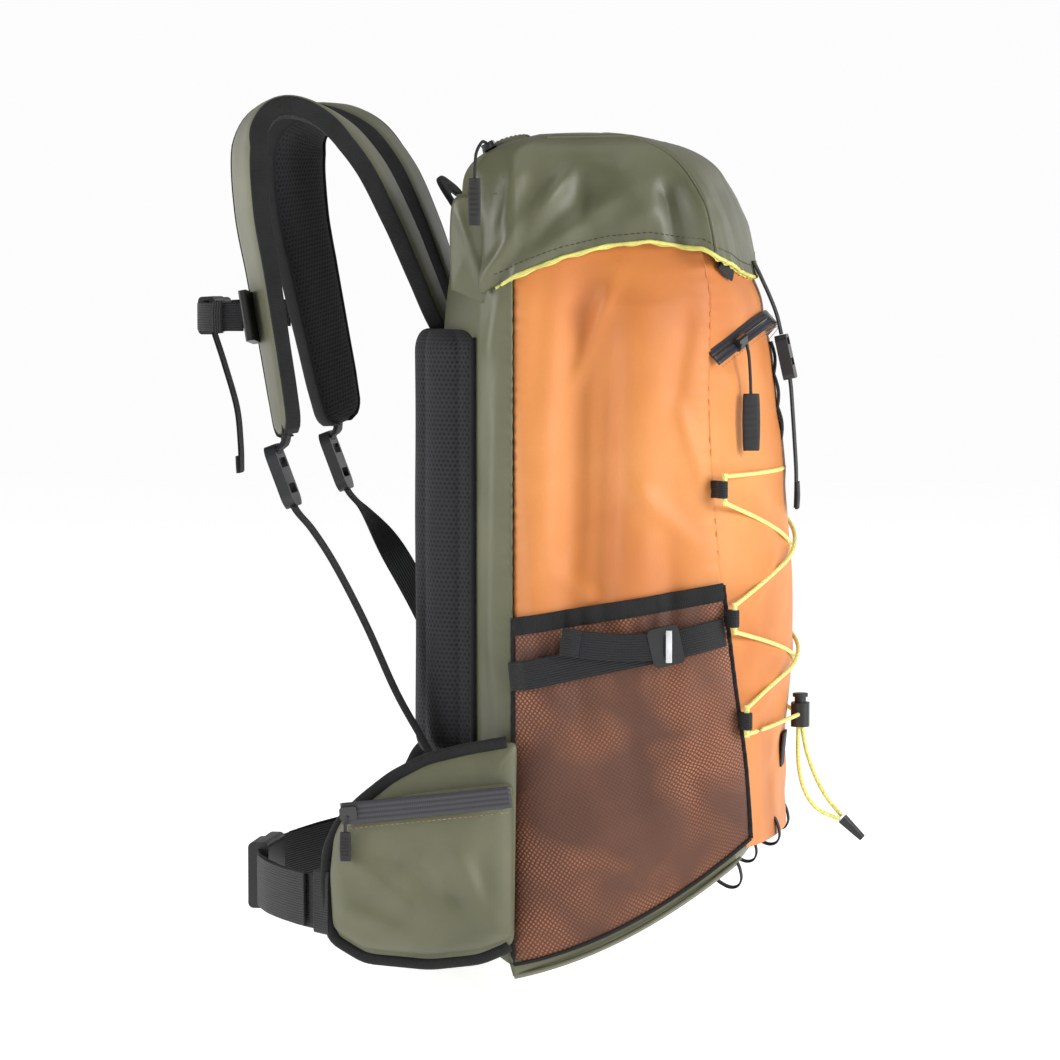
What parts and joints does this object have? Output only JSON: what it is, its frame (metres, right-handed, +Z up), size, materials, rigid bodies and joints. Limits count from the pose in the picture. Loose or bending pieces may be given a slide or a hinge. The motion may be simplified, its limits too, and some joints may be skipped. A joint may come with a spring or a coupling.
{
  "type": "hiking daypack",
  "caption": "Top-loading hiking daypack with hinged lid, padded straps, closed hip belt, stretch side pockets and shock-cord lacing.",
  "frame": {"origin": "centre of the spine pad's rear face at mid back, where the pack rests on the wearer", "axes": "+Z up, +X away from the wearer, +Y to the wearer's right"},
  "size_m": [0.4765, 0.3622, 0.6113],
  "materials": {
    "fabric_green": "coated plain-weave nylon, slight sheen",
    "fabric_orange": "coated plain-weave nylon, slight sheen",
    "air_mesh": "open spacer mesh over foam",
    "strap_fabric": "coated nylon outside, mesh inside, bound edges",
    "webbing": "ribbed nylon webbing",
    "zip_tape": "laminated coil zip tape",
    "plastic_black": "moulded acetal",
    "zip_metal": "black lacquered die casting",
    "pull_rubber": "matt rubber",
    "cord_yellow": "braided shock cord",
    "liner_yellow": "light coated nylon",
    "pocket_mesh": "stretch mesh",
    "sheet_plastic": "extruded sheet",
    "stay_alloy": "flat bar"
  },
  "bodies": {
    "root": {"back_wall": "fabric_green", "side_panel_left": "fabric_orange", "side_panel_right": "fabric_orange", "front_panel": "fabric_orange", "bottom_panel": "fabric_green", "collar": "liner_yellow", "frame_sheet": "sheet_plastic", "frame_stays": "stay_alloy", "hydration_sleeve": "fabric_green", "spine_pad": "air_mesh", "back_pad_left": "air_mesh", "back_pad_right": "air_mesh", "lumbar_pad": "air_mesh", "back_yoke": "fabric_green", "rear_flaps": "fabric_green", "front_loop_strip": "webbing", "front_zip_tape": "zip_tape", "gear_loops": "webbing", "lace_cord": "cord_yellow", "cord_lock_body": "plastic_black", "cord_tail_left": "cord_yellow", "cord_tail_right": "cord_yellow", "cord_end": "plastic_black", "shoulder_strap_left": "strap_fabric", "shoulder_strap_right": "strap_fabric", "strap_ladderlocks": "plastic_black", "strap_webbing": "webbing", "side_pocket_left": "pocket_mesh", "side_pocket_right": "pocket_mesh", "compression_straps": "webbing", "compression_ladderlocks": "plastic_black"},
    "lid": {"lid_shell": "fabric_green", "lid_lining": "liner_yellow", "lid_zip_tape": "zip_tape", "lid_zip_slider": "zip_metal"},
    "lid_pull": {"lid_zip_pull": "pull_rubber"},
    "front_strap": {"front_strap_webbing": "webbing", "front_strap_buckle": "plastic_black"},
    "front_slider": {"front_zip_slider": "zip_metal"},
    "front_pull": {"front_zip_pull": "pull_rubber"},
    "lock_button": {"cord_lock_button": "plastic_black"},
    "haul": {"haul_loop": "webbing"},
    "sternum": {"sternum_clips": "plastic_black", "sternum_webbing": "webbing", "sternum_buckle_male": "plastic_black"},
    "sternum_buckle": {"sternum_buckle_female": "plastic_black"},
    "hip_left": {"hip_wing_left": "strap_fabric", "hip_pocket_left": "fabric_green", "hip_zip_tape_left": "zip_tape", "hip_webbing_left": "webbing", "hip_buckle_female": "plastic_black"},
    "hip_right": {"hip_wing_right": "strap_fabric", "hip_pocket_right": "fabric_green", "hip_zip_tape_right": "zip_tape", "hip_webbing_right": "webbing", "hip_buckle_male": "plastic_black"},
    "hip_slider_left": {"hip_zip_slider_left": "zip_metal"},
    "hip_pull_left": {"hip_zip_pull_left": "pull_rubber"},
    "hip_slider_right": {"hip_zip_slider_right": "zip_metal"},
    "hip_pull_right": {"hip_zip_pull_right": "pull_rubber"}
  },
  "joints": [
    {"name": "lid_hinge", "type": "hinge", "parent": "root", "child": "lid", "pos_m": [0.04, 0, 0.264], "axis": [0, -1, 0], "range_deg": [0, 70]},
    {"name": "lid_pull_swing", "type": "hinge", "parent": "lid", "child": "lid_pull", "pos_m": [0.058, -0.114, 0.297], "axis": [-1, 0, 0], "range_deg": [0, 60]},
    {"name": "front_strap_swing", "type": "hinge", "parent": "lid", "child": "front_strap", "pos_m": [0.2395, 0, 0.202], "axis": [0, -1, 0], "range_deg": [0, 50]},
    {"name": "front_slider_run", "type": "hinge", "parent": "root", "child": "front_slider", "pos_m": [0.11383, 0, 0.05927], "axis": [-0.6612, 0, 0.7502], "range_deg": [-6, 19]},
    {"name": "front_pull_swing", "type": "hinge", "parent": "front_slider", "child": "front_pull", "pos_m": [0.2365, -0.0885, 0.158], "axis": [0, -1, 0], "range_deg": [0, 70]},
    {"name": "lock_button_press", "type": "slide", "parent": "root", "child": "lock_button", "axis": [0, 0, -1], "range_m": [0, 0.003], "stiffness_N_per_m": 300, "springref_m": -0.001},
    {"name": "haul_loop_fold", "type": "hinge", "parent": "root", "child": "haul", "pos_m": [0.027, 0, 0.25], "axis": [0, -1, 0], "range_deg": [0, 60], "stiffness_Nm_per_rad": 0.02, "springref_deg": -8.59},
    {"name": "sternum_height", "type": "slide", "parent": "root", "child": "sternum", "axis": [0.1811, 0, -0.9835], "range_m": [-0.025, 0.03]},
    {"name": "sternum_buckle_release", "type": "slide", "parent": "sternum", "child": "sternum_buckle", "axis": [0, -1, 0], "range_m": [0, 0.02]},
    {"name": "hip_left_swing", "type": "hinge", "parent": "root", "child": "hip_left", "pos_m": [0.0825, -0.1655, -0.19], "axis": [0, 0, 1], "range_deg": [0, 35]},
    {"name": "hip_right_swing", "type": "hinge", "parent": "root", "child": "hip_right", "pos_m": [0.0825, 0.1655, -0.19], "axis": [0, 0, 1], "range_deg": [-35, 0]},
    {"name": "hip_slider_left_run", "type": "slide", "parent": "hip_left", "child": "hip_slider_left", "axis": [0.9902, 0.0891, 0.1071], "range_m": [0, 0.098]},
    {"name": "hip_pull_left_swing", "type": "hinge", "parent": "hip_slider_left", "child": "hip_pull_left", "pos_m": [-0.0302, -0.1783, -0.1675], "axis": [-0.996, -0.0896, 0], "range_deg": [0, 70]},
    {"name": "hip_slider_right_run", "type": "slide", "parent": "hip_right", "child": "hip_slider_right", "axis": [0.9958, -0.0896, 0.0176], "range_m": [0, 0.098]},
    {"name": "hip_pull_right_swing", "type": "hinge", "parent": "hip_slider_right", "child": "hip_pull_right", "pos_m": [-0.0302, 0.1783, -0.1572], "axis": [0.996, -0.0896, 0], "range_deg": [0, 70]}
  ],
  "couplings": [
    {"joint": "hip_right_swing", "follows": "hip_left_swing", "ratio": -1}
  ]
}
